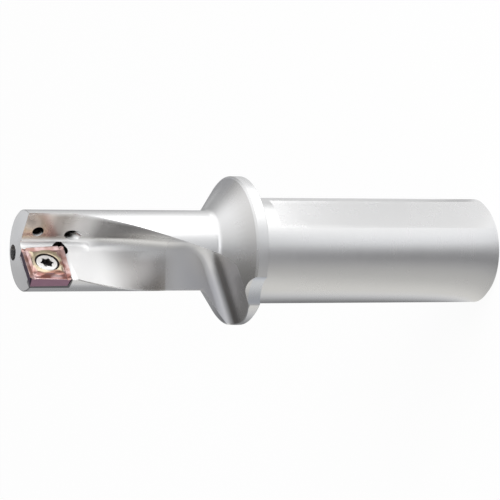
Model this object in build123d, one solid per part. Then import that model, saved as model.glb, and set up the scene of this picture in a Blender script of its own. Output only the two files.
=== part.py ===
from build123d import *
import math
import os

# Indexable drilling and turning tool, in millimetres and degrees.
# The tool stands on its shank: Z is its axis, with the origin at the centre of the shank's end.
# The rake face of the insert looks along -Y, and its cutting corner points along -X.
# A distance called "back" is measured from the head's front face towards the shank.

# Lengths along the axis
head_length = 58.0
cone_length = 7.5
rim_width = 3.9
shank_length = 80.8
overall_length = head_length + cone_length + rim_width + shank_length

# Turned outside
head_diameter = 24.2
flange_diameter = 44.9
shank_diameter = 32.0
shank_chamfer = 1.5
cone_root_radius = 2.0
rim_break = 0.25
rim_front_break = 0.6
face_break = 0.25

# Clamping flat on the shank, parallel to the rake face
flat_depth = 1.2
flat_start = 7.4

# Scallop in the flange rim, parallel to the axis
scallop_radius = 8.4
scallop_depth = 2.35
scallop_angle = 8.5

# Chip flute: a floor below the rake face, a wall beyond the axis and a round corner between them
floor_drop = 0.8
wall_offset = 3.65
flute_corner_radius = 3.7
flute_straight = 14.2
flute_twist_end = 45.7
flute_lead = 224.0

# Flute exit: the floor runs on level while the wall keeps twisting, then it leaves through the cone
exit_length = 13.2
exit_wall_step = 0.05
exit_turn_radius = 10.4
exit_lean = 19.6

# Land around the insert, milled a little deeper into the flute's corner
land_side = 3.85
land_top = 0.85
land_length = 22.4
land_end_radius = 5.0
land_corner_radius = 1.6

# Insert: a parallelogram with a cutting corner in front and outside
corner_forward = 1.0
corner_radius_out = 12.6
front_edge_length = 14.1
side_edge_length = 13.2
lead_angle = 2.8
side_clearance_angle = 1.2
insert_thickness = 3.97
boss_height = 0.55
corner_rise = 0.35
insert_relief = 11.0
nose_radius = 0.8

# Chip breaker moulded into the rake face
edge_land = 0.18
groove_width = 1.15
groove_depth = 0.38
boss_foot = 0.85
foot_bulge = 0.53
foot_bulge_height = 0.23
hollow_places = (0.27, 0.77)
hollow_radius = 2.0
hollow_stretch = 1.6
hollow_inset = 1.5
hollow_lift = 1.95

# Insert hole and clamping screw
hole_mouth_radius = 3.9
hole_radius = 2.75
mouth_depth = 0.75
mouth_round = 0.3
seat_radius = 3.6
seat_depth = 2.6
head_radius = 3.3
head_round = 0.25
head_sink = 0.35
screw_radius = 2.2
screw_length = 9.2
neck_length = 0.5
screw_clearance = 0.02
recess_radius = 2.05
recess_depth = 1.7
lobe_radius = 0.45
screw_point_chamfer = 0.5

# Insert pocket
pocket_clearance = 0.08
relief_radius = 2.5
relief_back = 12.05
relief_out = -1.35
relief_extra_depth = 0.4

# Coolant supply from the shank's end
port_radius = 4.4
port_depth = 12.0
port_chamfer = 0.6
bore_radius = 3.5
bore_end_back = 70.0
drill_point_angle = 118.0
front_channel_radius = 2.4
front_outlet = (-6.26, -6.41)
front_channel_root = (-2.3, -2.5)
wall_channel_radius = 1.8
wall_channel_start = 3.2
wall_outlet = (-7.5, 4.0)
wall_channel_root = (-2.6, 1.4)
jet_radius = 1.75
front_jet_back = 4.6
front_jet_height = 4.2
rear_jet_back = 15.6
rear_jet_height = 3.1
rear_jet_angle = 45.0

# Worked out from the sizes above
head_radius_out = head_diameter / 2
shank_radius = shank_diameter / 2
flange_radius = flange_diameter / 2
flute_reach = flange_radius + 8
exit_reach = flange_radius + 12
exit_turn = 360 * (flute_twist_end - flute_straight) / flute_lead
wall_end = flute_twist_end + exit_length + exit_turn_radius
base_height = boss_height - insert_thickness


def station(back):
    """Cross-section plane: x points to the cutting corner and y out of the rake face."""
    return Plane(origin=(0, 0, overall_length - back), x_dir=(-1, 0, 0), z_dir=(0, 0, 1))


def rake_plane(turn=0.0):
    """Plane through the axis: x points forward from the front face, y outward, z out of the rake face."""
    angle = math.radians(turn)
    outward = (-math.sin(angle), -math.cos(angle), 0)
    return Plane(origin=(0, 0, overall_length), x_dir=(0, 0, 1), z_dir=outward)


def polygon(points):
    return make_face(Polyline(*points, close=True))


def at_corner(shape, x, y):
    """The vertex of a sketch that lies at x, y."""
    return shape.vertices().sort_by_distance(Vertex(x, y, 0))[0]


# Turned blank


def turned_blank():
    """Shank, flange, cone and head, turned from one bar."""
    z_rim_front = shank_length + rim_width
    z_cone_front = z_rim_front + cone_length
    half_section = polygon(
        [
            (0, 0),
            (shank_radius - shank_chamfer, 0),
            (shank_radius, shank_chamfer),
            (shank_radius, shank_length),
            (flange_radius - rim_break, shank_length),
            (flange_radius, shank_length + rim_break),
            (flange_radius, z_rim_front - rim_front_break),
            (flange_radius - rim_front_break, z_rim_front),
            (head_radius_out, z_cone_front),
            (head_radius_out, overall_length - face_break),
            (head_radius_out - face_break, overall_length),
            (0, overall_length),
        ]
    )
    half_section = fillet(at_corner(half_section, head_radius_out, z_cone_front), cone_root_radius)
    return revolve(Plane.XZ * half_section, Axis.Z)


def clamping_flat():
    """Material milled off the shank to leave the flat."""
    length = shank_length - flat_start
    depth = flat_depth + 1
    block = Box(2 * shank_radius, depth, length + 1, align=(Align.CENTER, Align.MAX, Align.MAX))
    return Pos(0, -(shank_radius - flat_depth), length) * block


def rim_scallop():
    """Round notch through the flange, parallel to the axis."""
    distance = flange_radius - scallop_depth + scallop_radius
    angle = math.radians(180 + scallop_angle)
    centre = Pos(distance * math.cos(angle), distance * math.sin(angle), shank_length - 1)
    height = rim_width + cone_length + 2
    return centre * Cylinder(scallop_radius, height, align=(Align.CENTER, Align.CENTER, Align.MIN))


# Chip flute


def flute_section():
    """Cross-section of the flute, open past the head's outside."""
    wall, floor = -wall_offset, -floor_drop
    section = polygon([(wall, floor), (flute_reach, floor), (flute_reach, flute_reach), (wall, flute_reach)])
    return fillet(at_corner(section, wall, floor), flute_corner_radius)


def straight_flute():
    front = station(-corner_forward - 1)
    length = flute_straight + corner_forward + 1
    return extrude(front * flute_section(), amount=-length)


def twisted(section, end):
    """Section carried along the helix, from the end of the straight flute to a distance back."""
    face = (station(flute_straight) * section).faces()[0]
    start = (0, 0, overall_length - flute_straight)
    length = end - flute_straight
    return Solid.extrude_linear_with_rotation(face, start, (0, 0, -length), 360 * length / flute_lead)


def twisted_flute():
    return twisted(flute_section(), flute_twist_end)


def open_side():
    """Everything on the flute's side of its wall, which twists on past the flute's end, a touch deeper."""
    near, reach = -wall_offset - exit_wall_step, flute_reach
    return twisted(polygon([(near, -reach), (reach, -reach), (reach, reach), (near, reach)]), wall_end)


def flute_exit():
    """Last stretch of the flute, with a level floor and an end wall that leans towards the shank."""
    start = (-flute_twist_end, -wall_offset)
    turn = (start[0] - exit_length, start[1])
    far = (turn[0] - exit_reach * math.tan(math.radians(exit_lean)), turn[1] + exit_reach)
    plan = polygon([start, turn, far, (start[0], far[1])])
    plan = fillet(at_corner(plan, *turn), exit_turn_radius)
    block = extrude(plan, amount=flute_reach)
    at_floor = block.edges().group_by(Axis.Z)[0]
    milled = [edge for edge in at_floor if edge.center().X < start[0] - 1 and edge.center().Y < far[1] - 1]
    block = fillet(milled, flute_corner_radius)
    return (rake_plane(exit_turn) * Pos(0, 0, -floor_drop) * block) & open_side()


def insert_land():
    """Flat land around the insert, with the round end that the end mill leaves."""
    front = corner_forward + 1
    plan = polygon(
        [
            (front, -land_side),
            (-land_length, -land_side),
            (-land_length, flute_reach),
            (front, flute_reach),
        ]
    )
    plan = fillet(at_corner(plan, -land_length, -land_side), land_end_radius)
    block = extrude(plan, amount=land_top + floor_drop)
    at_floor = block.edges().group_by(Axis.Z)[0]
    milled = [edge for edge in at_floor if edge.center().X < front - 1 and edge.center().Y < flute_reach - 1]
    block = fillet(milled, land_corner_radius)
    return rake_plane() * Pos(0, 0, -floor_drop) * block


# Insert


def insert_corners():
    """Corners of the insert seen square to the rake face, from the cutting corner inwards and round."""
    lead, clearance = math.radians(lead_angle), math.radians(side_clearance_angle)
    front = Vector(-math.sin(lead), -math.cos(lead)) * front_edge_length
    side = Vector(-math.cos(clearance), -math.sin(clearance)) * side_edge_length
    cutting = Vector(corner_forward, corner_radius_out)
    return [cutting, cutting + front, cutting + front + side, cutting + side]


def insert_centre():
    corners = insert_corners()
    return (corners[0] + corners[2]) / 2


def corner_height(index):
    """Cutting corners stand high and the two between them low."""
    return corner_rise if index % 2 == 0 else -corner_rise


def tapered_prism(outline, top, bottom):
    """Prism whose sides draw in by the relief angle from its top to its bottom."""
    return extrude(Pos(0, 0, top) * outline, amount=bottom - top, taper=insert_relief)


def insert_outline(margin=0.0):
    """Outline of the insert at its top, larger than at the axis height by the relief."""
    points = [(corner.X, corner.Y) for corner in insert_corners()]
    outline = polygon(points)
    grown = boss_height * math.tan(math.radians(insert_relief)) + margin
    outline = offset(outline, amount=grown, kind=Kind.INTERSECTION)
    return fillet(outline.vertices(), nose_radius + grown)


def chip_groove(start, end):
    """Cutter for the land, groove and rise along one edge, from one corner to the next."""
    along = end - start
    direction = along.normalized()
    inward = direction.cross(Vector(0, 0, 1)).normalized()
    overrun = 1.0
    origin = start - direction * overrun
    plane = Plane(origin=origin, x_dir=inward, z_dir=-direction)
    clear = boss_height + corner_rise + 1
    foot = edge_land + groove_width
    rise_top = foot + boss_foot
    path = Polyline((foot, -groove_depth), (edge_land, 0), (-1, 0), (-1, clear), (rise_top, clear))
    rise = ThreePointArc((rise_top, clear), (foot + foot_bulge, foot_bulge_height), (foot, -groove_depth))
    section = make_face(path + rise)
    return extrude(plane * section, amount=-(along.length + 2 * overrun))


def edge_hollows(start, end):
    """Long round hollows that make the boss's side wavy along one edge."""
    along = end - start
    direction = along.normalized()
    inward = direction.cross(Vector(0, 0, 1)).normalized()
    hollow = scale(Sphere(hollow_radius), by=(hollow_stretch, 1, 1))
    hollows = []
    for place in hollow_places:
        centre = start + along * place + inward * hollow_inset
        centre.Z = hollow_lift
        hollows.append(Plane(origin=centre, x_dir=direction, z_dir=(0, 0, 1)) * hollow)
    return hollows


def insert_hole():
    """Countersunk hole of the insert, with a rounded seat for the screw's head."""
    top, bottom = boss_height, base_height
    seat_top = top - mouth_depth
    seat_end = top - seat_depth
    straight = Polyline((0, top + 1), (0, bottom - 1), (hole_radius, bottom - 1), (hole_radius, seat_end))
    flank = Line((hole_radius, seat_end), (seat_radius, seat_top))
    mouth = Polyline(
        (seat_radius, seat_top),
        (hole_mouth_radius - mouth_round, top - mouth_round),
        (hole_mouth_radius, top),
        (hole_mouth_radius, top + 1),
        (0, top + 1),
    )
    half_section = make_face(straight + flank + mouth)
    return revolve(Plane.XZ * half_section, Axis.Z)


def cutting_insert():
    blank = tapered_prism(insert_outline(), boss_height, base_height)
    corners = insert_corners()
    raised = [Vector(corner.X, corner.Y, corner_height(index)) for index, corner in enumerate(corners)]
    for index, start in enumerate(raised):
        end = raised[(index + 1) % len(raised)]
        blank -= chip_groove(start, end)
        for hollow in edge_hollows(start, end):
            blank -= hollow
    centre = insert_centre()
    blank -= Pos(centre.X, centre.Y, 0) * insert_hole()
    return rake_plane() * blank


def insert_pocket():
    """Recess for the insert, open at the head's front and outside."""
    corners = insert_corners()
    forward = (corners[1] - corners[2]).normalized() * 6
    outward = (corners[3] - corners[2]).normalized() * 8
    points = [corners[2], corners[1] + forward, corners[0] + forward + outward, corners[3] + outward]
    outline = polygon([(point.X, point.Y) for point in points])
    grown = boss_height * math.tan(math.radians(insert_relief)) + pocket_clearance
    outline = offset(outline, amount=grown, kind=Kind.INTERSECTION)
    pocket = tapered_prism(outline, boss_height, base_height)
    height = boss_height - base_height + relief_extra_depth
    relief = Cylinder(relief_radius, height, align=(Align.CENTER, Align.CENTER, Align.MAX))
    pocket += Pos(-relief_back, relief_out, boss_height) * relief
    return rake_plane() * pocket


# Screw


def screw_place():
    centre = insert_centre()
    return rake_plane() * Pos(centre.X, centre.Y, 0)


def six_lobe_recess(depth):
    """Socket with six round lobes and a conical bottom."""
    core = Circle(recess_radius - lobe_radius)
    lobes = PolarLocations(recess_radius - lobe_radius, 6) * Circle(lobe_radius)
    hollows = PolarLocations(recess_radius, 6, start_angle=30) * Circle(lobe_radius)
    outline = core + lobes - hollows
    return extrude(outline, amount=-depth)


def insert_screw():
    """Countersunk screw; its plain shank stands for the thread."""
    top = boss_height - head_sink
    seat_top = boss_height - mouth_depth
    seat_end = boss_height - seat_depth
    seat_slope = (seat_radius - hole_radius) / (seat_depth - mouth_depth)
    side_end = seat_top - (seat_radius - screw_clearance - head_radius) / seat_slope
    end = top - screw_length
    half_section = polygon(
        [
            (0, top),
            (head_radius - head_round, top),
            (head_radius, top - head_round),
            (head_radius, side_end),
            (hole_radius - screw_clearance, seat_end),
            (screw_radius, seat_end - neck_length),
            (screw_radius, end + screw_point_chamfer),
            (screw_radius - screw_point_chamfer, end),
            (0, end),
        ]
    )
    screw = revolve(Plane.XZ * half_section, Axis.Z)
    screw -= Pos(0, 0, top) * six_lobe_recess(recess_depth)
    return screw_place() * screw


def screw_hole():
    """Hole through the head below the insert, at the thread's size."""
    radius = screw_radius + screw_clearance
    return screw_place() * Cylinder(radius, 2 * head_radius_out, align=(Align.CENTER, Align.CENTER, Align.MAX))


# Coolant


def drilled(start, end, radius):
    """Round hole from a point to a point."""
    start, end = Vector(*start), Vector(*end)
    plane = Plane(origin=start, z_dir=end - start)
    return plane * Cylinder(radius, (end - start).length, align=(Align.CENTER, Align.CENTER, Align.MIN))


def in_head(back, out, up):
    """Point of the head from its distances behind the face, towards the corner and off the rake."""
    return (-out, -up, overall_length - back)


def coolant_supply():
    """Threaded port's core, bore and drill point on the axis."""
    bore_end = overall_length - bore_end_back
    point = bore_radius / math.tan(math.radians(drill_point_angle / 2))
    half_section = polygon(
        [
            (0, -1),
            (port_radius + port_chamfer + 1, -1),
            (port_radius, port_chamfer),
            (port_radius, port_depth),
            (bore_radius, port_depth + port_radius - bore_radius),
            (bore_radius, bore_end - point),
            (0, bore_end),
        ]
    )
    return revolve(Plane.XZ * half_section, Axis.Z)


def front_channel():
    start = in_head(-1, *front_outlet)
    end = in_head(bore_end_back + 2 * bore_radius, *front_channel_root)
    return drilled(start, end, front_channel_radius)


def wall_channel():
    start = in_head(wall_channel_start, *wall_outlet)
    end = in_head(bore_end_back + 2 * bore_radius, *wall_channel_root)
    return drilled(start, end, wall_channel_radius)


def front_jet():
    """Outlet square to the flute wall, beside the insert's front."""
    start = in_head(front_jet_back, 0, front_jet_height)
    end = in_head(front_jet_back, wall_outlet[0], front_jet_height)
    return drilled(start, end, jet_radius)


def rear_jet():
    """Outlet drilled forward into the wall from the flute."""
    tilt = math.tan(math.radians(rear_jet_angle))
    mouth_out = -wall_offset
    start_out, end_out = mouth_out + 3, wall_outlet[0]
    start = in_head(rear_jet_back + 3 * tilt, start_out, rear_jet_height)
    end = in_head(rear_jet_back - (mouth_out - end_out) * tilt, end_out, rear_jet_height)
    return drilled(start, end, jet_radius)


def tool_body():
    body = turned_blank()
    for cutter in (clamping_flat, rim_scallop, straight_flute, twisted_flute, flute_exit, insert_land):
        body -= cutter()
    for cutter in (insert_pocket, screw_hole):
        body -= cutter()
    for cutter in (coolant_supply, front_channel, wall_channel, front_jet, rear_jet):
        body -= cutter()
    return body


def write(node, shape):
    solids = shape.solids()
    print(node, "solids", len(solids), "volume", round(sum(solid.volume for solid in solids), 2))
    export_step(shape, os.path.join("parts", node + ".step"))


os.makedirs("parts", exist_ok=True)
write("tool_body", tool_body())
write("cutting_insert", cutting_insert())
write("insert_screw", insert_screw())
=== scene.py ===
import math

import bpy
from mathutils import Matrix, Vector

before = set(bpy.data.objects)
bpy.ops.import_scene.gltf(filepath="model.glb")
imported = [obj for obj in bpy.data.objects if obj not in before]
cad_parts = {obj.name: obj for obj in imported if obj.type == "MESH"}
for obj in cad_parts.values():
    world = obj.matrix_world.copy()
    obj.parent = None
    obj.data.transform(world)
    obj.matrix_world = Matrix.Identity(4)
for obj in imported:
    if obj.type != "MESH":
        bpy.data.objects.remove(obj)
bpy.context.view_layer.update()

# Lengths are in metres and angles in degrees. The tool stands on its shank's end with its tip up.
# Most pairs of numbers say where a smooth step begins and ends: at a height, at a distance, or by how
# much of a direction points one way. The pair of a random pattern is its scale and its detail.

# Camera: the photograph shows the tool lying, so the camera is rolled by a quarter turn
VIEW_AZIMUTH = 222.0
VIEW_ELEVATION = 23.586
VIEW_DISTANCE = 1.05388
VIEW_HEIGHT = 0.07735
LENS = 250.71
SENSOR = 36.0
SHIFT_UP = 0.00114
CLIP_START = 0.05

# Studio: brightness by azimuth. The first three are the floor's, as the tool mirrors it, near the
# tool, further out and far out. The last one is the world's.
NEAR_SURROUNDINGS = [
    (0, 0.8), (14, 0.76), (28, 0.75), (42, 0.56), (57, 0.26), (74, 0.2), (90, 0.36), (106, 0.64),
    (118, 0.8), (138, 0.74), (162, 0.58), (184, 0.49), (196, 0.4), (207, 0.3), (216, 0.34), (224, 0.5),
    (236, 0.88), (250, 1.05), (266, 1.12), (284, 1.0), (314, 0.92), (328, 0.62), (342, 0.6), (360, 0.8),
]
MIDDLE_SURROUNDINGS = [
    (0, 0.8), (16, 0.6), (28, 0.5), (42, 0.45), (57, 0.26), (74, 0.3), (90, 0.46), (106, 0.58),
    (120, 0.62), (132, 0.7), (150, 0.7), (164, 0.65), (176, 0.5), (192, 0.34), (207, 0.3), (218, 0.36),
    (228, 0.5), (240, 0.75), (250, 0.95), (262, 1.4), (275, 2.0), (285, 2.6), (318, 2.4), (336, 1.3),
    (350, 0.95), (360, 0.8),
]
FAR_SURROUNDINGS = [
    (0, 0.7), (16, 0.5), (28, 0.36), (42, 0.36), (57, 0.35), (74, 0.36), (90, 0.38), (100, 0.45),
    (110, 0.7), (120, 0.75), (132, 0.85), (150, 0.95), (164, 0.8), (176, 0.6), (192, 0.55), (207, 0.6),
    (222, 0.55), (236, 0.5), (250, 0.6), (262, 0.9), (275, 1.6), (285, 2.3), (318, 2.4), (336, 1.4),
    (350, 0.85), (360, 0.7),
]
WALLS = [
    (0, 0.55), (16, 0.4), (28, 0.7), (41, 0.92), (45, 0.5), (57, 0.24), (74, 0.24), (90, 0.34),
    (118, 0.6), (138, 0.65), (162, 0.6), (184, 0.65), (195, 0.5), (204, 0.38), (212, 0.6), (222, 1.1),
    (236, 1.3), (250, 1.3), (270, 1.35), (318, 1.4), (335, 1.3), (350, 0.85), (360, 0.55),
]
# Distances from the tool's axis at which the floor's tables change
MIDDLE_REACH = (0.165, 0.24)
FAR_REACH = (0.245, 0.275)
# Brightness that the colour ramps hold as 1
PEAK = 2.6

# Ceiling: brightness by place, from 0 at its dark side to 1 at its bright side, where it starts higher
BRIGHT_SIDE = 312.0
CEILING = [
    (0.0, 0.14), (0.3, 0.18), (0.4, 0.25), (0.5, 0.44), (0.58, 0.66), (0.7, 0.9), (0.8, 0.98), (1.0, 0.98),
]
CEILING_START = (0.25, 0.75)
CEILING_SLOPE = 0.25

# Bright panels: azimuth, elevation, outer and inner radius, gain
PANELS = [(183, 40, 28, 10, 2.3), (143, 30, 20, 10, 1.9)]

# Colour of the studio by azimuth
TINTS = [
    (0, (1, 1, 1, 1)), (57, (0.97, 0.98, 1, 1)), (106, (0.98, 0.985, 1, 1)), (130, (1, 0.985, 0.94, 1)),
    (180, (1, 0.99, 0.965, 1)), (206, (0.985, 0.985, 1, 1)), (240, (0.975, 0.985, 1, 1)),
    (275, (1, 1, 0.995, 1)), (360, (1, 1, 1, 1)),
]

# Floor: how much of it the camera sees as plain white, and its grey where it keeps the shadow
FLOOR_WHITE_SHARE = 0.94
FLOOR_GREY = 0.92
FLOOR_SIZE = 12.0
FLOOR_CUTS = 4

# Lamp that casts the shadow, with its distance from a point on the tool's axis
LAMP_AZIMUTH = 265
LAMP_ELEVATION = 38
LAMP_DISTANCE = 0.9
LAMP_AIM_HEIGHT = 0.1
LAMP_SIZE = 0.6
LAMP_POWER = 4.5

# Outside of the turned blank, how deep inside it the milled steel begins, and how thick a layer counts
# as one of its end faces and as the front face with its painted shade
TIP_HEIGHT = 0.1502
HEAD_RADIUS = 0.0121
FLANGE_RADIUS = 0.02245
SHANK_RADIUS = 0.016
SHANK_TOP = 0.0808
RIM_TOP = 0.0847
CONE_TOP = 0.0922
MILLED_DEPTH = (0.0002, 0.0006)
END_SKIN = 0.0001
FRONT_SKIN = 0.0003

# Twist of the chip flute
TWIST_START = 0.136
TWIST_END = 0.1045
TWIST = 50.6

# Chip flute in front of its twist: distance of its wall and its floor from the axis, and how
# squarely a surface faces away from them
FLUTE_WALL = 0.00365
FLUTE_FLOOR = 0.0008
WALL_FACING = (0.86, 0.96)
FLOOR_FACING = (0.8, 0.95)
FILLET_FACING = (0.2, 0.6)

# Dull steel, painted pale as a highlight: the heights above which the flute's floor and fillet are dull,
# and how far its pale corner at the exit reaches, between the floor and the end wall. Dull steel mirrors
# less.
DULL_FLOOR = (0.113, 0.128)
DULL_FILLET = (0.125, 0.131)
DULL_HIGHLIGHT_REACH = (0.0015, 0.006)
DULL_HIGHLIGHT_FLOOR_FACING = (0.9, 0.985)
DULL_HIGHLIGHT_END_FACING = (0.6, 0.85)
DULL_LOSS = 0.7

# Darker patch on the flute's floor: its start and end along the flute, and its inner edge on the floor
DARKENING_START = (0.1, 0.1085)
DARKENING_END = (0.1135, 0.135)
DARKENING_SIDE = (0.0, 0.004)
DARKENING_SHARE = 0.6

# Painted shade in tinted bands along the flute's wall: height, tone and warmth. Warmth is the share that
# red gains, and its factor gives blue's loss. They start at the end of the twist and fade towards the
# wall's outer edge, which they leave lighter as a painted highlight.
WALL_SHADE_BANDS = [
    (0.107, 0.77, 0.0), (0.111, 0.66, 0.02), (0.114, 0.5, 0.03), (0.117, 0.4, 0.03), (0.1195, 0.3, 0.03),
    (0.1225, 0.26, 0.03), (0.127, 0.27, 0.03), (0.1305, 0.52, 0.02), (0.134, 0.58, 0.03),
    (0.1365, 0.46, 0.06), (0.1385, 0.36, 0.09), (0.1405, 0.4, 0.1), (0.1435, 0.68, 0.1),
    (0.147, 0.78, 0.11), (0.1505, 0.8, 0.07),
]
BLUE_FACTOR = 0.7
TINT_START = (TWIST_END, 0.108)
TINT_EDGE = (0.0103, 0.0119)
TINT_EDGE_LOSS = 0.6

# Flute's exit over the cone: the side it opens to, its inner corner, how far its rough and bluish
# band reaches up and outwards, and where the painted shade on its end wall turns from dark in the corner
# to paler outside
EXIT_SIDE = 219
EXIT_CORNER = (-0.0012, 0.0008, 0.0909)
EXIT_HEIGHT = (0.094, 0.105)
EXIT_SIDE_REACH = (0.003, 0.005)
BLUISH_REACH = (0.002, 0.01)
BLUISH_SHARE = 0.8
END_WALL_FACING = (0.72, 0.9)
END_WALL_REACH = (0.0018, 0.0095)

# Scallop in the rim: how little its face points up, how far out it lies, and the ridges across it
SCALLOP_FACING = (0.2, 0.5)
SCALLOP_REACH = (0.018, 0.0185)
RIDGE_SIDE = -0.0185
RIDGE_PITCH = 0.00055

# Openings with painted shade inside: the middle and radius of the round ones, square to their axis, and
# the depths at which they turn dark. The front outlet stays lit on its side away from the flute.
RELIEF_HOLE = (0.00135, 0.13815, 0.00256)
RELIEF_DEPTH = (FLUTE_FLOOR, 0.0016)
FRONT_OUTLET = (0.00626, 0.00641, 0.00245)
FRONT_DEPTH = (0.0004, 0.005)
FRONT_LIT_SIDE = (0.0074, 0.0086)
WALL_OUTLET_DEPTH = (FLUTE_WALL + 0.0002, FLUTE_WALL + 0.0014)
PORT = (0.0, 0.0, 0.0046)
PORT_DEPTH = (0.0008, 0.006)
PORT_END = 0.02

# Painted shade at the insert's seat, seen from outside the head: under the insert and behind its rear side
INSERT_REAR = 0.1382
UNDER_INSERT = (0.003, 0.0032)
GAP_END = (0.0045, 0.005)
REAR_GAP_START = (0.0, 0.0004)
REAR_GAP_WIDTH = (0.0003, 0.0006)
GAP_SIDE = -0.0085
GAP_SHARE = 0.85

# Shade on the half of the front face away from the bright side
SHADE_REACH = (-0.007, 0.005)
SHADE_SHARE = 0.38

# Marks on the steel: patches, the lathe's fine and broad rings, and the end mill's scratches
STEEL_PATCHES = (160.0, 4.0)
PATCH_ROUGHNESS = 0.06
FINE_RINGS = (4200.0, 2.0)
RING_DEPTH = 0.000002
BROAD_RINGS = (520.0, 3.0)
STREAK_ROUGHNESS = 0.05
SCRATCHES = (2600.0, 2.0)
SCRATCH_STRETCH = (1.0, 1.0, 0.07)
SCRATCH_DEPTH = 0.000003

# Gloss of the steel. That of the turned steel is drawn out a quarter turn away from its rings.
TURNED_ROUGHNESS = 0.26
TURNED_ANISOTROPY = 0.6
GLOSS_TURN = 0.25
MILLED_ROUGHNESS = 0.27
DULL_ROUGHNESS = 0.12

STEEL_DARKER = (0.755, 0.755, 0.76, 1)
STEEL_LIGHTER = (0.785, 0.785, 0.79, 1)
# Steel along its sharp edges: wear and a painted highlight
STEEL_WORN_HIGHLIT_EDGE = (0.86, 0.86, 0.86, 1)
# Painted shade, on the front face and deep in the openings
PAINTED_SHADE_STEEL = (0.2, 0.19, 0.18, 1)
DARKER_FLOOR_STEEL = (0.33, 0.3, 0.28, 1)
# Painted shade on the exit's end wall, in its corner and further out
END_CORNER_SHADE = (0.3, 0.285, 0.275, 1)
END_WALL_SHADE = (0.52, 0.5, 0.485, 1)
BLUISH_STEEL = (0.64, 0.65, 0.69, 1)
SCALLOP_STEEL = (0.74, 0.765, 0.81, 1)
# Pale colour of the dull steel, a painted highlight
PALE_HIGHLIGHT_STEEL = (0.95, 0.95, 0.95, 1)
# Painted shade at the insert's seat
GAP_SHADE_COLOUR = (0.05, 0.04, 0.045, 1)

# Worn edges with a painted highlight: their width on each piece, and how far the surface has to turn there
EDGE_SAMPLES = 8
EDGE_TURN = (0.8, 0.96)
STEEL_EDGE_WIDTH = 0.00015
CARBIDE_EDGE_WIDTH = 0.00012
SCREW_EDGE_WIDTH = 0.0001

# Axis of the insert's screw
SCREW_X = -0.00542
SCREW_Z = 0.14426

# Insert: half the sides of its rake face, how far its corners rise above and fall below it, and the
# radius within which its hole is painted dark as shade
HALF_WIDTH = 0.00705
HALF_HEIGHT = 0.0066
CORNER_RISE = 0.00035
HOLE_RADIUS = 0.00372

# Rake face: its colours from the lowest to the highest place, darkest low down with painted shade, the
# range of heights that they cover and the unevenness that mixes them
RAKE_COLOURS = [
    (0.0, (0.2, 0.08, 0.06, 1)),
    (0.14, (0.36, 0.18, 0.15, 1)),
    (0.32, (0.68, 0.44, 0.4, 1)),
    (0.45, (0.84, 0.64, 0.61, 1)),
    (0.6, (0.78, 0.58, 0.52, 1)),
    (0.82, (0.72, 0.59, 0.42, 1)),
    (1.0, (0.7, 0.62, 0.45, 1)),
]
RAKE_RANGE = (-0.00045, 0.00055)
RAKE_UNEVEN = 0.0004
RAKE_FACING = (0.35, 0.6)

# Rim of the rake face, around its boss: the height at which it ends, its blotches and its swells
RIM_HEIGHT = (0.0, 0.0003)
RIM_WAVES = (330.0, 1.0)
WAVE_LEVEL = (0.38, 0.62)
RIM_SWELL = 0.00012
RIM_SHARE = 0.75

# Painted shade in the chip groove, in halves of the insert's sides: a wavy line, by its distance from the
# middle towards the outer edge, and round spots, each with its place across and along and its radius
GROOVE_PLACE = 0.69
GROOVE_TURNS = 5.5
GROOVE_WAVE = 0.07
GROOVE_WIDTH = (0.06, 0.17)
GROOVE_END = (0.62, 0.84)
SHADE_SPOTS = [(-0.12, -0.7, 0.24), (-0.72, -0.8, 0.22)]
SPOT_EDGE = 0.16
GROOVE_SHARE = 0.85

# Carbide: its patches and grains, its gloss, and how much a side faces the tip to be the front flank,
# which is painted near black as shade
CARBIDE_PATCHES = (420.0, 3.0)
CARBIDE_GRAINS = (9000.0, 2.0)
GRAIN_DEPTH = 0.000003
CARBIDE_METALLIC = 0.85
CARBIDE_ROUGHNESS = 0.24
CARBIDE_PATCH_ROUGHNESS = 0.12
CARBIDE_EDGE_SHARE = 0.5
FRONT_FACING = (0.5, 0.8)

BLOTCH_DARK = (0.5, 0.29, 0.25, 1)
BLOTCH_PINK = (0.85, 0.66, 0.66, 1)
# Painted shade in the chip groove
GROOVE_SHADE = (0.27, 0.1, 0.08, 1)
SIDE_DARKER = (0.28, 0.16, 0.22, 1)
SIDE_LIGHTER = (0.35, 0.21, 0.27, 1)
# Painted shade on the front flank
FRONT_FLANK_SHADE = (0.06, 0.045, 0.07, 1)
# Carbide along its sharp edges: wear and a painted highlight
CARBIDE_WORN_HIGHLIT_EDGE = (0.9, 0.72, 0.66, 1)
# Painted shade in the insert's hole
HOLE_SHADE_COLOUR = (0.05, 0.04, 0.035, 1)
# Colour that the carbide gives to what it mirrors at grazing angles
GRAZING_TINT = (0.45, 0.4, 0.45, 1)

# Screw: the depths at which painted shade darkens it, with a painted glint in the middle of its recess
RECESS_SHADE_DEPTH = (-0.00012, 0.00015)
GLINT_RADIUS = 0.0009
GLINT_SHARE = 0.35
SCREW_RINGS = (6000.0, 1.0)
SCREW_RING_DEPTH = 0.000003
SCREW_METALLIC = 0.6
SCREW_ROUGHNESS = 0.24
SCREW_EDGE_ROUGHNESS = 0.15
SCREW_STEEL = (0.96, 0.95, 0.94, 1)
# Painted shade
RECESS_SHADE = (0.05, 0.045, 0.045, 1)


def look_from(azimuth, elevation):
    """Unit vector towards a place seen from the tool."""
    a, e = math.radians(azimuth), math.radians(elevation)
    return Vector((math.cos(a) * math.cos(e), math.sin(a) * math.cos(e), math.sin(e)))


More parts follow.
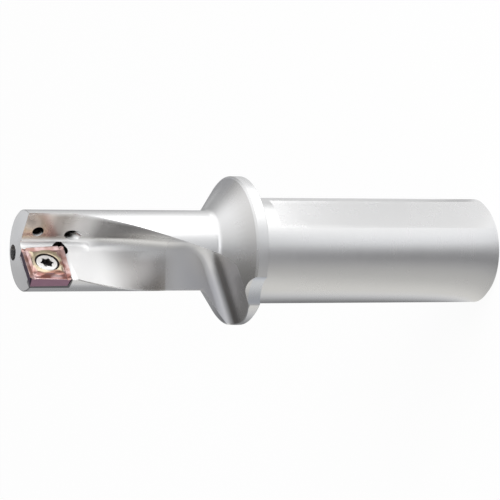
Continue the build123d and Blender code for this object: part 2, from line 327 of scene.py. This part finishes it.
def add_camera():
    target = Vector((0, 0, VIEW_HEIGHT))
    back = look_from(VIEW_AZIMUTH, VIEW_ELEVATION)
    up = look_from(VIEW_AZIMUTH + 90, 0)
    right = up.cross(back)
    data = bpy.data.cameras.new("camera")
    data.sensor_width = SENSOR
    data.lens = LENS
    data.shift_y = SHIFT_UP
    data.clip_start = CLIP_START
    camera = bpy.data.objects.new("camera", data)
    bpy.context.collection.objects.link(camera)
    turn = Matrix((right, up, back)).transposed().to_4x4()
    camera.matrix_world = Matrix.Translation(target + back * VIEW_DISTANCE) @ turn
    bpy.context.scene.camera = camera


class Tree:
    """Short calls for building the node tree of a material or a world."""

    def __init__(self, owner):
        owner.use_nodes = True
        self.nodes = owner.node_tree.nodes
        self.links = owner.node_tree.links
        self.nodes.clear()

    def add(self, kind, inputs=None, **settings):
        node = self.nodes.new("ShaderNode" + kind)
        for name, value in settings.items():
            setattr(node, name, value)
        for key, value in (inputs or {}).items():
            self.put(node.inputs[key], value)
        return node

    def put(self, socket, value):
        if isinstance(value, bpy.types.NodeSocket):
            self.links.new(value, socket)
        else:
            socket.default_value = value

    def math(self, operation, *values, clamp=False):
        node = self.add("Math", dict(enumerate(values)), operation=operation, use_clamp=clamp)
        return node.outputs[0]

    def times(self, first, *others):
        for other in others:
            first = self.math("MULTIPLY", first, other)
        return first

    def most(self, first, *others):
        for other in others:
            first = self.math("MAXIMUM", first, other)
        return first

    def rest(self, value):
        """What a share leaves of 1."""
        return self.math("SUBTRACT", 1.0, value)

    def hypotenuse(self, first, second):
        squares = self.math("ADD", self.times(first, first), self.times(second, second))
        return self.math("SQRT", squares)

    def vector_math(self, operation, *values):
        """A number where the operation gives one, otherwise a vector."""
        node = self.add("VectorMath", dict(enumerate(values)), operation=operation)
        gives_number = operation in ("DOT_PRODUCT", "DISTANCE", "LENGTH")
        return node.outputs["Value" if gives_number else "Vector"]

    def parts(self, vector):
        """The vector's X, Y and Z."""
        return self.add("SeparateXYZ", {0: vector}).outputs

    def scaled(self, value, span, low=0.0, high=1.0):
        """From low to high as the value crosses the span, and held at both ends."""
        inputs = {"Value": value, "From Min": span[0], "From Max": span[1], "To Min": low, "To Max": high}
        return self.add("MapRange", inputs).outputs["Result"]

    def step(self, value, span):
        """0 below the span, 1 above it, smooth between."""
        inputs = {"Value": value, "From Min": span[0], "From Max": span[1]}
        return self.add("MapRange", inputs, interpolation_type="SMOOTHSTEP").outputs["Result"]

    def fall(self, value, span):
        """1 below the span, 0 above it, smooth between."""
        return self.rest(self.step(value, span))

    def mix(self, factor, first, second, blend="MIX"):
        """Mix of two colours, which are the node's sockets 6 and 7."""
        node = self.add("Mix", data_type="RGBA", blend_type=blend)
        self.put(node.inputs[0], factor)
        self.put(node.inputs[6], first)
        self.put(node.inputs[7], second)
        return node.outputs[2]

    def mix_shaders(self, factor, first, second):
        return self.add("MixShader", {0: factor, 1: first, 2: second}).outputs[0]

    def ramp(self, factor, stops):
        """Colour by a factor from 0 to 1, from stops of a position and a colour."""
        node = self.add("ValToRGB", {"Fac": factor})
        elements = node.color_ramp.elements
        while len(elements) < len(stops):
            elements.new(0.5)
        for element, (position, colour) in zip(elements, stops):
            element.position = position
            element.color = colour
        return node.outputs["Color"]

    def noise(self, position, grain):
        """Random pattern in space."""
        inputs = {"Vector": position, "Scale": grain[0], "Detail": grain[1]}
        return self.add("TexNoise", inputs).outputs["Fac"]

    def rings(self, distance, grain):
        """Random pattern that changes only with the distance."""
        inputs = {"W": distance, "Scale": grain[0], "Detail": grain[1]}
        return self.add("TexNoise", inputs, noise_dimensions="1D").outputs["Fac"]

    def swing(self, pattern, amount):
        """The pattern moved from around a half to around 0, times an amount."""
        return self.times(self.math("SUBTRACT", pattern, 0.5), amount)

    def bump(self, height, depth, normal=None):
        inputs = {"Height": height, "Distance": depth}
        if normal:
            inputs["Normal"] = normal
        return self.add("Bump", inputs).outputs[0]


class Surface:
    """Position and normal of the point that is shaded."""

    def __init__(self, tree):
        geometry = tree.add("NewGeometry")
        self.position = geometry.outputs["Position"]
        self.normal = geometry.outputs["Normal"]
        self.x, self.y, self.z = tree.parts(self.position)


def grey(value):
    return (value, value, value, 1.0)


def layered(tree, colour, layers):
    """The colour with each layer's colour laid over it by its share, in turn."""
    for share, layer in layers:
        colour = tree.mix(share, colour, layer)
    return colour


def by_azimuth(tree, turn, table):
    """Brightness from a table, at a share of a full turn."""
    return tree.ramp(turn, [(azimuth / 360, grey(value / PEAK)) for azimuth, value in table])


def surroundings(tree, direction, tables, shares=()):
    """Brightness of the studio in a direction: by azimuth, evening out towards the ceiling."""
    x, y, z = tree.parts(direction)
    turn = tree.math("FRACT", tree.math("DIVIDE", tree.math("ARCTAN2", y, x), math.tau))
    around = by_azimuth(tree, turn, tables[0])
    for share, table in zip(shares, tables[1:]):
        around = tree.mix(share, around, by_azimuth(tree, turn, table))
    towards = tree.vector_math("DOT_PRODUCT", direction, look_from(BRIGHT_SIDE, 0))
    across = tree.math("ADD", tree.times(towards, 0.5), 0.5)
    ceiling = tree.ramp(across, [(place, grey(value / PEAK)) for place, value in CEILING])
    level = tree.math("SUBTRACT", z, tree.times(across, CEILING_SLOPE))
    above = tree.step(level, CEILING_START)
    tint = tree.ramp(turn, [(azimuth / 360, colour) for azimuth, colour in TINTS])
    return tree.mix(1.0, tree.mix(above, around, ceiling), tint, "MULTIPLY")


def add_world():
    """The studio as the tool mirrors it, and plain white behind the tool."""
    world = bpy.data.worlds.new("studio")
    bpy.context.scene.world = world
    tree = Tree(world)
    direction = tree.add("TexCoord").outputs["Generated"]
    colour = surroundings(tree, direction, [WALLS])
    for azimuth, elevation, outer, inner, gain in PANELS:
        towards = tree.vector_math("DOT_PRODUCT", direction, look_from(azimuth, elevation))
        inside = tree.step(towards, (math.cos(math.radians(outer)), math.cos(math.radians(inner))))
        brighter = tree.vector_math("MULTIPLY", colour, (gain, gain, gain))
        colour = tree.mix(inside, colour, brighter)
    studio = tree.add("Background", {"Color": colour, "Strength": PEAK})
    white = tree.add("Background", {"Color": grey(1.0), "Strength": 1.0})
    seen = tree.add("LightPath").outputs["Is Camera Ray"]
    mixed = tree.mix_shaders(seen, studio.outputs[0], white.outputs[0])
    tree.add("OutputWorld", {"Surface": mixed})


def add_floor():
    """Pale floor that keeps the tool's shadow and is as bright as the studio in reflections."""
    bpy.ops.mesh.primitive_grid_add(x_subdivisions=FLOOR_CUTS, y_subdivisions=FLOOR_CUTS, size=FLOOR_SIZE)
    floor = bpy.context.object
    floor.name = "floor"
    material = bpy.data.materials.new("floor")
    tree = Tree(material)
    paths = tree.add("LightPath").outputs
    flat = tree.vector_math("MULTIPLY", tree.add("TexCoord").outputs["Object"], (1, 1, 0))
    distance = tree.vector_math("LENGTH", flat)
    tables = [NEAR_SURROUNDINGS, MIDDLE_SURROUNDINGS, FAR_SURROUNDINGS]
    shares = [tree.step(distance, MIDDLE_REACH), tree.step(distance, FAR_REACH)]
    around = surroundings(tree, flat, tables, shares)
    studio = tree.add("Emission", {"Color": around, "Strength": PEAK})
    lit = tree.add("BsdfDiffuse", {"Color": grey(FLOOR_GREY)})
    white = tree.add("Emission", {"Color": grey(1.0), "Strength": 1.0})
    whitened = tree.times(paths["Is Camera Ray"], FLOOR_WHITE_SHARE)
    shown = tree.mix_shaders(whitened, lit.outputs[0], white.outputs[0])
    whole = tree.mix_shaders(paths["Is Glossy Ray"], shown, studio.outputs[0])
    tree.add("OutputMaterial", {"Surface": whole})
    floor.data.materials.append(material)


def add_lamp():
    """Square lamp that the steel doesn't mirror."""
    data = bpy.data.lights.new("key_lamp", "AREA")
    data.shape = "SQUARE"
    data.size = LAMP_SIZE
    data.energy = LAMP_POWER
    lamp = bpy.data.objects.new("key_lamp", data)
    bpy.context.collection.objects.link(lamp)
    direction = look_from(LAMP_AZIMUTH, LAMP_ELEVATION)
    lamp.location = direction * LAMP_DISTANCE + Vector((0, 0, LAMP_AIM_HEIGHT))
    lamp.rotation_euler = direction.to_track_quat("Z", "Y").to_euler()
    lamp.visible_glossy = False


def milled_mask(tree, surface, radius):
    """1 where the surface lies inside the turned blank, 0 on its turned outside and ends."""
    cone = tree.scaled(surface.z, (RIM_TOP, CONE_TOP), FLANGE_RADIUS, HEAD_RADIUS)
    on_shank = tree.math("LESS_THAN", surface.z, SHANK_TOP)
    blank = tree.add("Mix", {"Factor": on_shank, "A": cone, "B": SHANK_RADIUS}).outputs["Result"]
    inside = tree.step(tree.math("SUBTRACT", blank, radius), MILLED_DEPTH)
    below_tip = tree.math("LESS_THAN", surface.z, TIP_HEIGHT - END_SKIN)
    above_end = tree.math("GREATER_THAN", surface.z, END_SKIN)
    return tree.times(inside, below_tip, above_end)


def untwisted(tree, vector, z):
    """How far a direction or place points away from the flute's wall and floor, without their twist."""
    turn = tree.scaled(z, (TWIST_START, TWIST_END), 0.0, math.radians(TWIST))
    turned = tree.add("VectorRotate", {"Vector": vector, "Angle": turn}, rotation_type="Z_AXIS")
    straight = tree.parts(turned.outputs[0])
    return tree.times(straight[0], -1.0), tree.times(straight[1], -1.0)


def near_insert_mask(tree, z, off_floor):
    """1 on the flute's floor beside the insert, with the fillet at its wall nearest to the insert."""
    floor = tree.times(tree.step(off_floor, FLOOR_FACING), tree.step(z, DULL_FLOOR))
    fillet = tree.times(tree.step(off_floor, FILLET_FACING), tree.step(z, DULL_FILLET))
    return tree.most(floor, fillet)


def dull_highlight_mask(tree, from_corner, upward, off_floor):
    """1 on the fillet in the inner corner of the flute's exit, which is dull and painted pale as a
    highlight.
    """
    on_faces = tree.most(tree.step(off_floor, DULL_HIGHLIGHT_FLOOR_FACING), tree.step(upward, DULL_HIGHLIGHT_END_FACING))
    return tree.times(tree.fall(from_corner, DULL_HIGHLIGHT_REACH), tree.rest(on_faces))


def outer_floor_darkening(tree, surface, off_floor):
    """1 on the outer half of the flute's floor, halfway along its twist."""
    outward = untwisted(tree, surface.position, surface.z)[0]
    along = tree.times(tree.step(surface.z, DARKENING_START), tree.fall(surface.z, DARKENING_END))
    across = tree.times(tree.step(outward, DARKENING_SIDE), tree.step(off_floor, FLOOR_FACING))
    return tree.times(along, across)


def wall_mask(tree, z, radius, off_wall):
    """1 on the flute's wall in front of its exit, fading by the wall's outer edge."""
    inside_edge = tree.rest(tree.times(tree.step(radius, TINT_EDGE), TINT_EDGE_LOSS))
    return tree.times(tree.step(off_wall, WALL_FACING), tree.step(z, TINT_START), inside_edge)


def wall_shade(tree, z):
    """Painted shade in brown and grey tinted bands along the flute's wall."""
    lowest, highest = WALL_SHADE_BANDS[0][0], WALL_SHADE_BANDS[-1][0]
    stops = []
    for height, tone, warmth in WALL_SHADE_BANDS:
        colour = (tone * (1 + warmth), tone, tone * (1 - BLUE_FACTOR * warmth), 1)
        stops.append(((height - lowest) / (highest - lowest), colour))
    return tree.ramp(tree.scaled(z, (lowest, highest)), stops)


def in_round(tree, first, second, opening):
    """1 within a round opening, given as its middle and radius in two coordinates."""
    across = tree.math("SUBTRACT", first, opening[0])
    along = tree.math("SUBTRACT", second, opening[1])
    return tree.math("LESS_THAN", tree.hypotenuse(across, along), opening[2])


def hole_mask(tree, surface, milled):
    """1 deep inside the relief hole, the coolant outlets and the port in the shank's end, where shade is
    painted.
    """
    x, y, z = surface.x, surface.y, surface.z
    relief = tree.times(in_round(tree, x, z, RELIEF_HOLE), tree.step(y, RELIEF_DEPTH))
    behind_face = tree.step(tree.math("SUBTRACT", TIP_HEIGHT, z), FRONT_DEPTH)
    front = tree.times(in_round(tree, x, y, FRONT_OUTLET), behind_face, tree.fall(y, FRONT_LIT_SIDE))
    in_wall = tree.times(tree.step(x, WALL_OUTLET_DEPTH), tree.math("LESS_THAN", y, 0.0))
    in_head = tree.times(tree.most(relief, front, in_wall), tree.math("GREATER_THAN", z, TWIST_END))
    in_port = tree.times(in_round(tree, x, y, PORT), tree.math("LESS_THAN", z, PORT_END))
    port = tree.times(in_port, tree.step(z, PORT_DEPTH))
    return tree.times(tree.most(in_head, port), milled)


def seat_gap_shade(tree, surface):
    """1 on the narrow strip under the insert and behind its rear side, seen from outside, painted dark as
    shade.
    """
    before_end = tree.fall(surface.y, GAP_END)
    beside_insert = tree.math("GREATER_THAN", surface.z, INSERT_REAR)
    under = tree.times(tree.step(surface.y, UNDER_INSERT), before_end, beside_insert)
    from_side = tree.math("ABSOLUTE", tree.math("SUBTRACT", surface.z, INSERT_REAR))
    past_start = tree.step(surface.y, REAR_GAP_START)
    behind = tree.times(tree.fall(from_side, REAR_GAP_WIDTH), past_start, before_end)
    return tree.times(tree.most(under, behind), tree.math("LESS_THAN", surface.x, GAP_SIDE))


def worn_highlit_edges(tree, normal, width):
    """1 along the sharp edges, 0 on the faces."""
    rounded = tree.add("Bevel", {"Radius": width}, samples=EDGE_SAMPLES).outputs[0]
    return tree.fall(tree.vector_math("DOT_PRODUCT", rounded, normal), EDGE_TURN)


def tip_shade(tree, surface):
    """1 on the half of the front face away from the bright side, where shade is painted."""
    towards = tree.vector_math("DOT_PRODUCT", surface.position, look_from(BRIGHT_SIDE, 0))
    on_front = tree.math("GREATER_THAN", surface.z, TIP_HEIGHT - FRONT_SKIN)
    return tree.times(tree.fall(towards, SHADE_REACH), on_front)


def milling_marks(tree, surface):
    """Long scratches that follow the flute, and ridges across the scallop in the rim."""
    stretched = tree.vector_math("MULTIPLY", surface.position, SCRATCH_STRETCH)
    scratches = tree.noise(stretched, SCRATCHES)
    wave = tree.math("SINE", tree.times(surface.z, math.tau / RIDGE_PITCH))
    ridges = tree.math("ADD", tree.times(wave, 0.5), 0.5)
    beside_axis = tree.math("LESS_THAN", surface.x, RIDGE_SIDE)
    on_rim = tree.times(beside_axis, tree.math("LESS_THAN", surface.z, CONE_TOP))
    return tree.mix(on_rim, scratches, ridges)


def turned_steel(tree, surface, radius, colour, mottle, gap):
    """Turned outside with fine rings, along the axis on round faces and outwards on flat ones."""
    travel = tree.math("ADD", surface.z, radius)
    streaks = tree.swing(tree.rings(travel, BROAD_RINGS), STREAK_ROUGHNESS)
    # Painted shade on the half of the front face away from the bright side
    shaded = tree.times(tip_shade(tree, surface), SHADE_SHARE)
    inputs = {
        "Base Color": layered(tree, colour, [(shaded, PAINTED_SHADE_STEEL), (gap, GAP_SHADE_COLOUR)]),
        "Metallic": 1.0,
        "Roughness": tree.math("ADD", tree.math("ADD", TURNED_ROUGHNESS, mottle), streaks),
        "Anisotropic": TURNED_ANISOTROPY,
        "Anisotropic Rotation": GLOSS_TURN,
        "Normal": tree.bump(tree.rings(travel, FINE_RINGS), RING_DEPTH),
        "Tangent": tree.add("Tangent", direction_type="RADIAL", axis="Z").outputs[0],
    }
    return tree.add("BsdfPrincipled", inputs).outputs[0]


def milled_steel(tree, surface, radius, milled, colour, mottle, gap):
    """Milled flute, openings, clamping flat and scallop, with painted shade, a darker patch, bluish tints
    and dull places painted pale as a highlight.
    """
    z = surface.z
    off_wall, off_floor = untwisted(tree, surface.normal, z)
    upward = tree.parts(surface.normal)[2]
    outward = tree.vector_math("DOT_PRODUCT", surface.position, look_from(EXIT_SIDE, 0))
    from_corner = tree.vector_math("DISTANCE", surface.position, EXIT_CORNER)
    holes = hole_mask(tree, surface, milled)
    dull_highlight = dull_highlight_mask(tree, from_corner, upward, off_floor)
    openings = tree.most(holes, in_round(tree, surface.x, surface.y, FRONT_OUTLET))
    # Dull steel beside the insert and in the exit's corner, painted pale as a highlight
    dull = tree.most(near_insert_mask(tree, z, off_floor), dull_highlight)
    dull = tree.math("SUBTRACT", dull, openings, clamp=True)
    at_exit = tree.times(tree.fall(z, EXIT_HEIGHT), tree.fall(outward, EXIT_SIDE_REACH))
    at_end = tree.times(tree.step(upward, END_WALL_FACING), tree.math("LESS_THAN", z, CONE_TOP))
    # Painted shade on the exit's end wall, darkest in its corner
    end_wall_shade = tree.mix(tree.step(outward, END_WALL_REACH), END_CORNER_SHADE, END_WALL_SHADE)
    on_rim = tree.times(tree.fall(upward, SCALLOP_FACING), tree.math("LESS_THAN", z, RIM_TOP))
    layers = [
        # Painted shade in bands on the wall, lighter by its outer edge as a painted highlight
        (wall_mask(tree, z, radius, off_wall), wall_shade(tree, z)),
        (tree.times(outer_floor_darkening(tree, surface, off_floor), DARKENING_SHARE), DARKER_FLOOR_STEEL),
        (tree.times(at_exit, tree.step(from_corner, BLUISH_REACH), BLUISH_SHARE), BLUISH_STEEL),
        (at_end, end_wall_shade),
        (tree.times(on_rim, tree.step(radius, SCALLOP_REACH)), SCALLOP_STEEL),
        # Pale as a painted highlight
        (dull, PALE_HIGHLIGHT_STEEL),
        # Painted shade deep in the openings
        (holes, PAINTED_SHADE_STEEL),
        # Painted shade at the insert's seat
        (gap, GAP_SHADE_COLOUR),
    ]
    extra_roughness = tree.times(tree.most(dull, at_exit), DULL_ROUGHNESS)
    inputs = {
        "Base Color": layered(tree, colour, layers),
        "Metallic": tree.rest(tree.times(dull, DULL_LOSS)),
        "Roughness": tree.math("ADD", tree.math("ADD", MILLED_ROUGHNESS, mottle), extra_roughness),
        "Normal": tree.bump(milling_marks(tree, surface), SCRATCH_DEPTH),
    }
    return tree.add("BsdfPrincipled", inputs).outputs[0]


def steel_material():
    """Turned steel outside, with its gloss drawn out along the tool, and milled steel in the flute."""
    material = bpy.data.materials.new("satin_steel")
    tree = Tree(material)
    surface = Surface(tree)
    radius = tree.hypotenuse(surface.x, surface.y)
    milled = milled_mask(tree, surface, radius)
    patches = tree.noise(surface.position, STEEL_PATCHES)
    mottle = tree.swing(patches, PATCH_ROUGHNESS)
    edges = worn_highlit_edges(tree, surface.normal, STEEL_EDGE_WIDTH)
    # Sharp edges lighter, as wear and as a painted highlight
    colour = layered(tree, STEEL_DARKER, [(patches, STEEL_LIGHTER), (edges, STEEL_WORN_HIGHLIT_EDGE)])
    # Painted shade at the insert's seat
    gap = tree.times(seat_gap_shade(tree, surface), GAP_SHARE)
    turned_shader = turned_steel(tree, surface, radius, colour, mottle, gap)
    milled_shader = milled_steel(tree, surface, radius, milled, colour, mottle, gap)
    tree.add("OutputMaterial", {"Surface": tree.mix_shaders(milled, turned_shader, milled_shader)})
    return material


def from_screw(tree, surface):
    """Offsets from the screw's axis, across the tool and along it."""
    return tree.math("SUBTRACT", surface.x, SCREW_X), tree.math("SUBTRACT", surface.z, SCREW_Z)


def groove_shade_mask(tree, across, along):
    """1 on the painted shade: a wave along the groove by the insert's outer edge, and spots by its rear
    edge.
    """
    wave = tree.times(tree.math("SINE", tree.times(along, GROOVE_TURNS)), GROOVE_WAVE)
    offset = tree.math("ABSOLUTE", tree.math("ADD", tree.math("ADD", across, GROOVE_PLACE), wave))
    from_middle = tree.math("ABSOLUTE", along)
    groove_shading = tree.times(tree.fall(offset, GROOVE_WIDTH), tree.fall(from_middle, GROOVE_END))
    place = tree.add("CombineXYZ", {"X": across, "Y": along}).outputs[0]
    for spot_across, spot_along, radius in SHADE_SPOTS:
        away = tree.vector_math("DISTANCE", place, (spot_across, spot_along, 0.0))
        groove_shading = tree.most(groove_shading, tree.fall(away, (radius - SPOT_EDGE, radius)))
    return groove_shading


def rake_height(tree, across, along, y, patches):
    """Height above the insert's edges, which climb to two of its corners and fall to the others."""
    saddle = tree.times(across, along, CORNER_RISE)
    return tree.math("ADD", tree.math("SUBTRACT", saddle, y), tree.swing(patches, RAKE_UNEVEN))


def carbide_material():
    """Coated carbide: its colour follows the height of the moulded rake face, with painted shade in its low
    places, and its sides are purple.
    """
    material = bpy.data.materials.new("coated_carbide")
    tree = Tree(material)
    surface = Surface(tree)
    patches = tree.noise(surface.position, CARBIDE_PATCHES)
    sideways, lengthways = from_screw(tree, surface)
    across = tree.math("DIVIDE", sideways, HALF_WIDTH)
    along = tree.math("DIVIDE", lengthways, HALF_HEIGHT)

    height = rake_height(tree, across, along, surface.y, patches)
    waves = tree.noise(surface.position, RIM_WAVES)
    on_rim = tree.fall(height, RIM_HEIGHT)
    blotches = tree.mix(tree.step(waves, WAVE_LEVEL), BLOTCH_DARK, BLOTCH_PINK)
    # Painted shade in the chip groove and its hollows
    groove_shading = tree.times(groove_shade_mask(tree, across, along), GROOVE_SHARE)
    # Coating colour by height, partly painted shade in the lowest places
    rake_colour = tree.ramp(tree.scaled(height, RAKE_RANGE), RAKE_COLOURS)
    rake_layers = [(tree.times(on_rim, RIM_SHARE), blotches), (groove_shading, GROOVE_SHADE)]
    rake_colour = layered(tree, rake_colour, rake_layers)

    facing = tree.parts(surface.normal)
    on_rake = tree.step(tree.times(facing[1], -1.0), RAKE_FACING)
    edges = worn_highlit_edges(tree, surface.normal, CARBIDE_EDGE_WIDTH)
    in_hole = tree.math("LESS_THAN", tree.hypotenuse(sideways, lengthways), HOLE_RADIUS)
    layers = [
        (patches, SIDE_LIGHTER),
        # Front flank painted near black as shade
        (tree.step(facing[2], FRONT_FACING), FRONT_FLANK_SHADE),
        (on_rake, rake_colour),
        # Sharp edges lighter, as wear and as a painted highlight
        (tree.times(edges, CARBIDE_EDGE_SHARE), CARBIDE_WORN_HIGHLIT_EDGE),
        # Painted shade in the insert's hole
        (in_hole, HOLE_SHADE_COLOUR),
    ]
    swell = tree.bump(tree.times(waves, on_rim), RIM_SWELL)
    inputs = {
        "Base Color": layered(tree, SIDE_DARKER, layers),
        "Metallic": CARBIDE_METALLIC,
        "Roughness": tree.math("ADD", CARBIDE_ROUGHNESS, tree.times(patches, CARBIDE_PATCH_ROUGHNESS)),
        "Normal": tree.bump(tree.noise(surface.position, CARBIDE_GRAINS), GRAIN_DEPTH, swell),
        "Specular Tint": GRAZING_TINT,
    }
    carbide = tree.add("BsdfPrincipled", inputs)
    tree.add("OutputMaterial", {"Surface": carbide.outputs[0]})
    return material


def screw_material():
    """Bright screw steel with turned rings, with painted shade in its recess and below its head and a
    painted glint in the recess.
    """
    material = bpy.data.materials.new("screw_steel")
    tree = Tree(material)
    surface = Surface(tree)
    distance = tree.hypotenuse(*from_screw(tree, surface))
    # Painted shade in the recess and below the head, with a painted glint in the middle of the recess
    painted_glint = tree.times(tree.math("LESS_THAN", distance, GLINT_RADIUS), GLINT_SHARE)
    recess_shade = tree.math("SUBTRACT", tree.step(surface.y, RECESS_SHADE_DEPTH), painted_glint, clamp=True)
    edges = worn_highlit_edges(tree, surface.normal, SCREW_EDGE_WIDTH)
    inputs = {
        "Base Color": tree.mix(recess_shade, SCREW_STEEL, RECESS_SHADE),
        "Metallic": SCREW_METALLIC,
        "Roughness": tree.math("ADD", SCREW_ROUGHNESS, tree.times(edges, SCREW_EDGE_ROUGHNESS)),
        "Normal": tree.bump(tree.rings(distance, SCREW_RINGS), SCREW_RING_DEPTH),
    }
    screw = tree.add("BsdfPrincipled", inputs)
    tree.add("OutputMaterial", {"Surface": screw.outputs[0]})
    return material


def dress(node, material):
    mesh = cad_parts[node].data
    mesh.materials.clear()
    mesh.materials.append(material)


add_camera()
add_world()
add_floor()
add_lamp()
dress("tool_body", steel_material())
dress("cutting_insert", carbide_material())
dress("insert_screw", screw_material())

bpy.context.scene.view_settings.view_transform = "Standard"
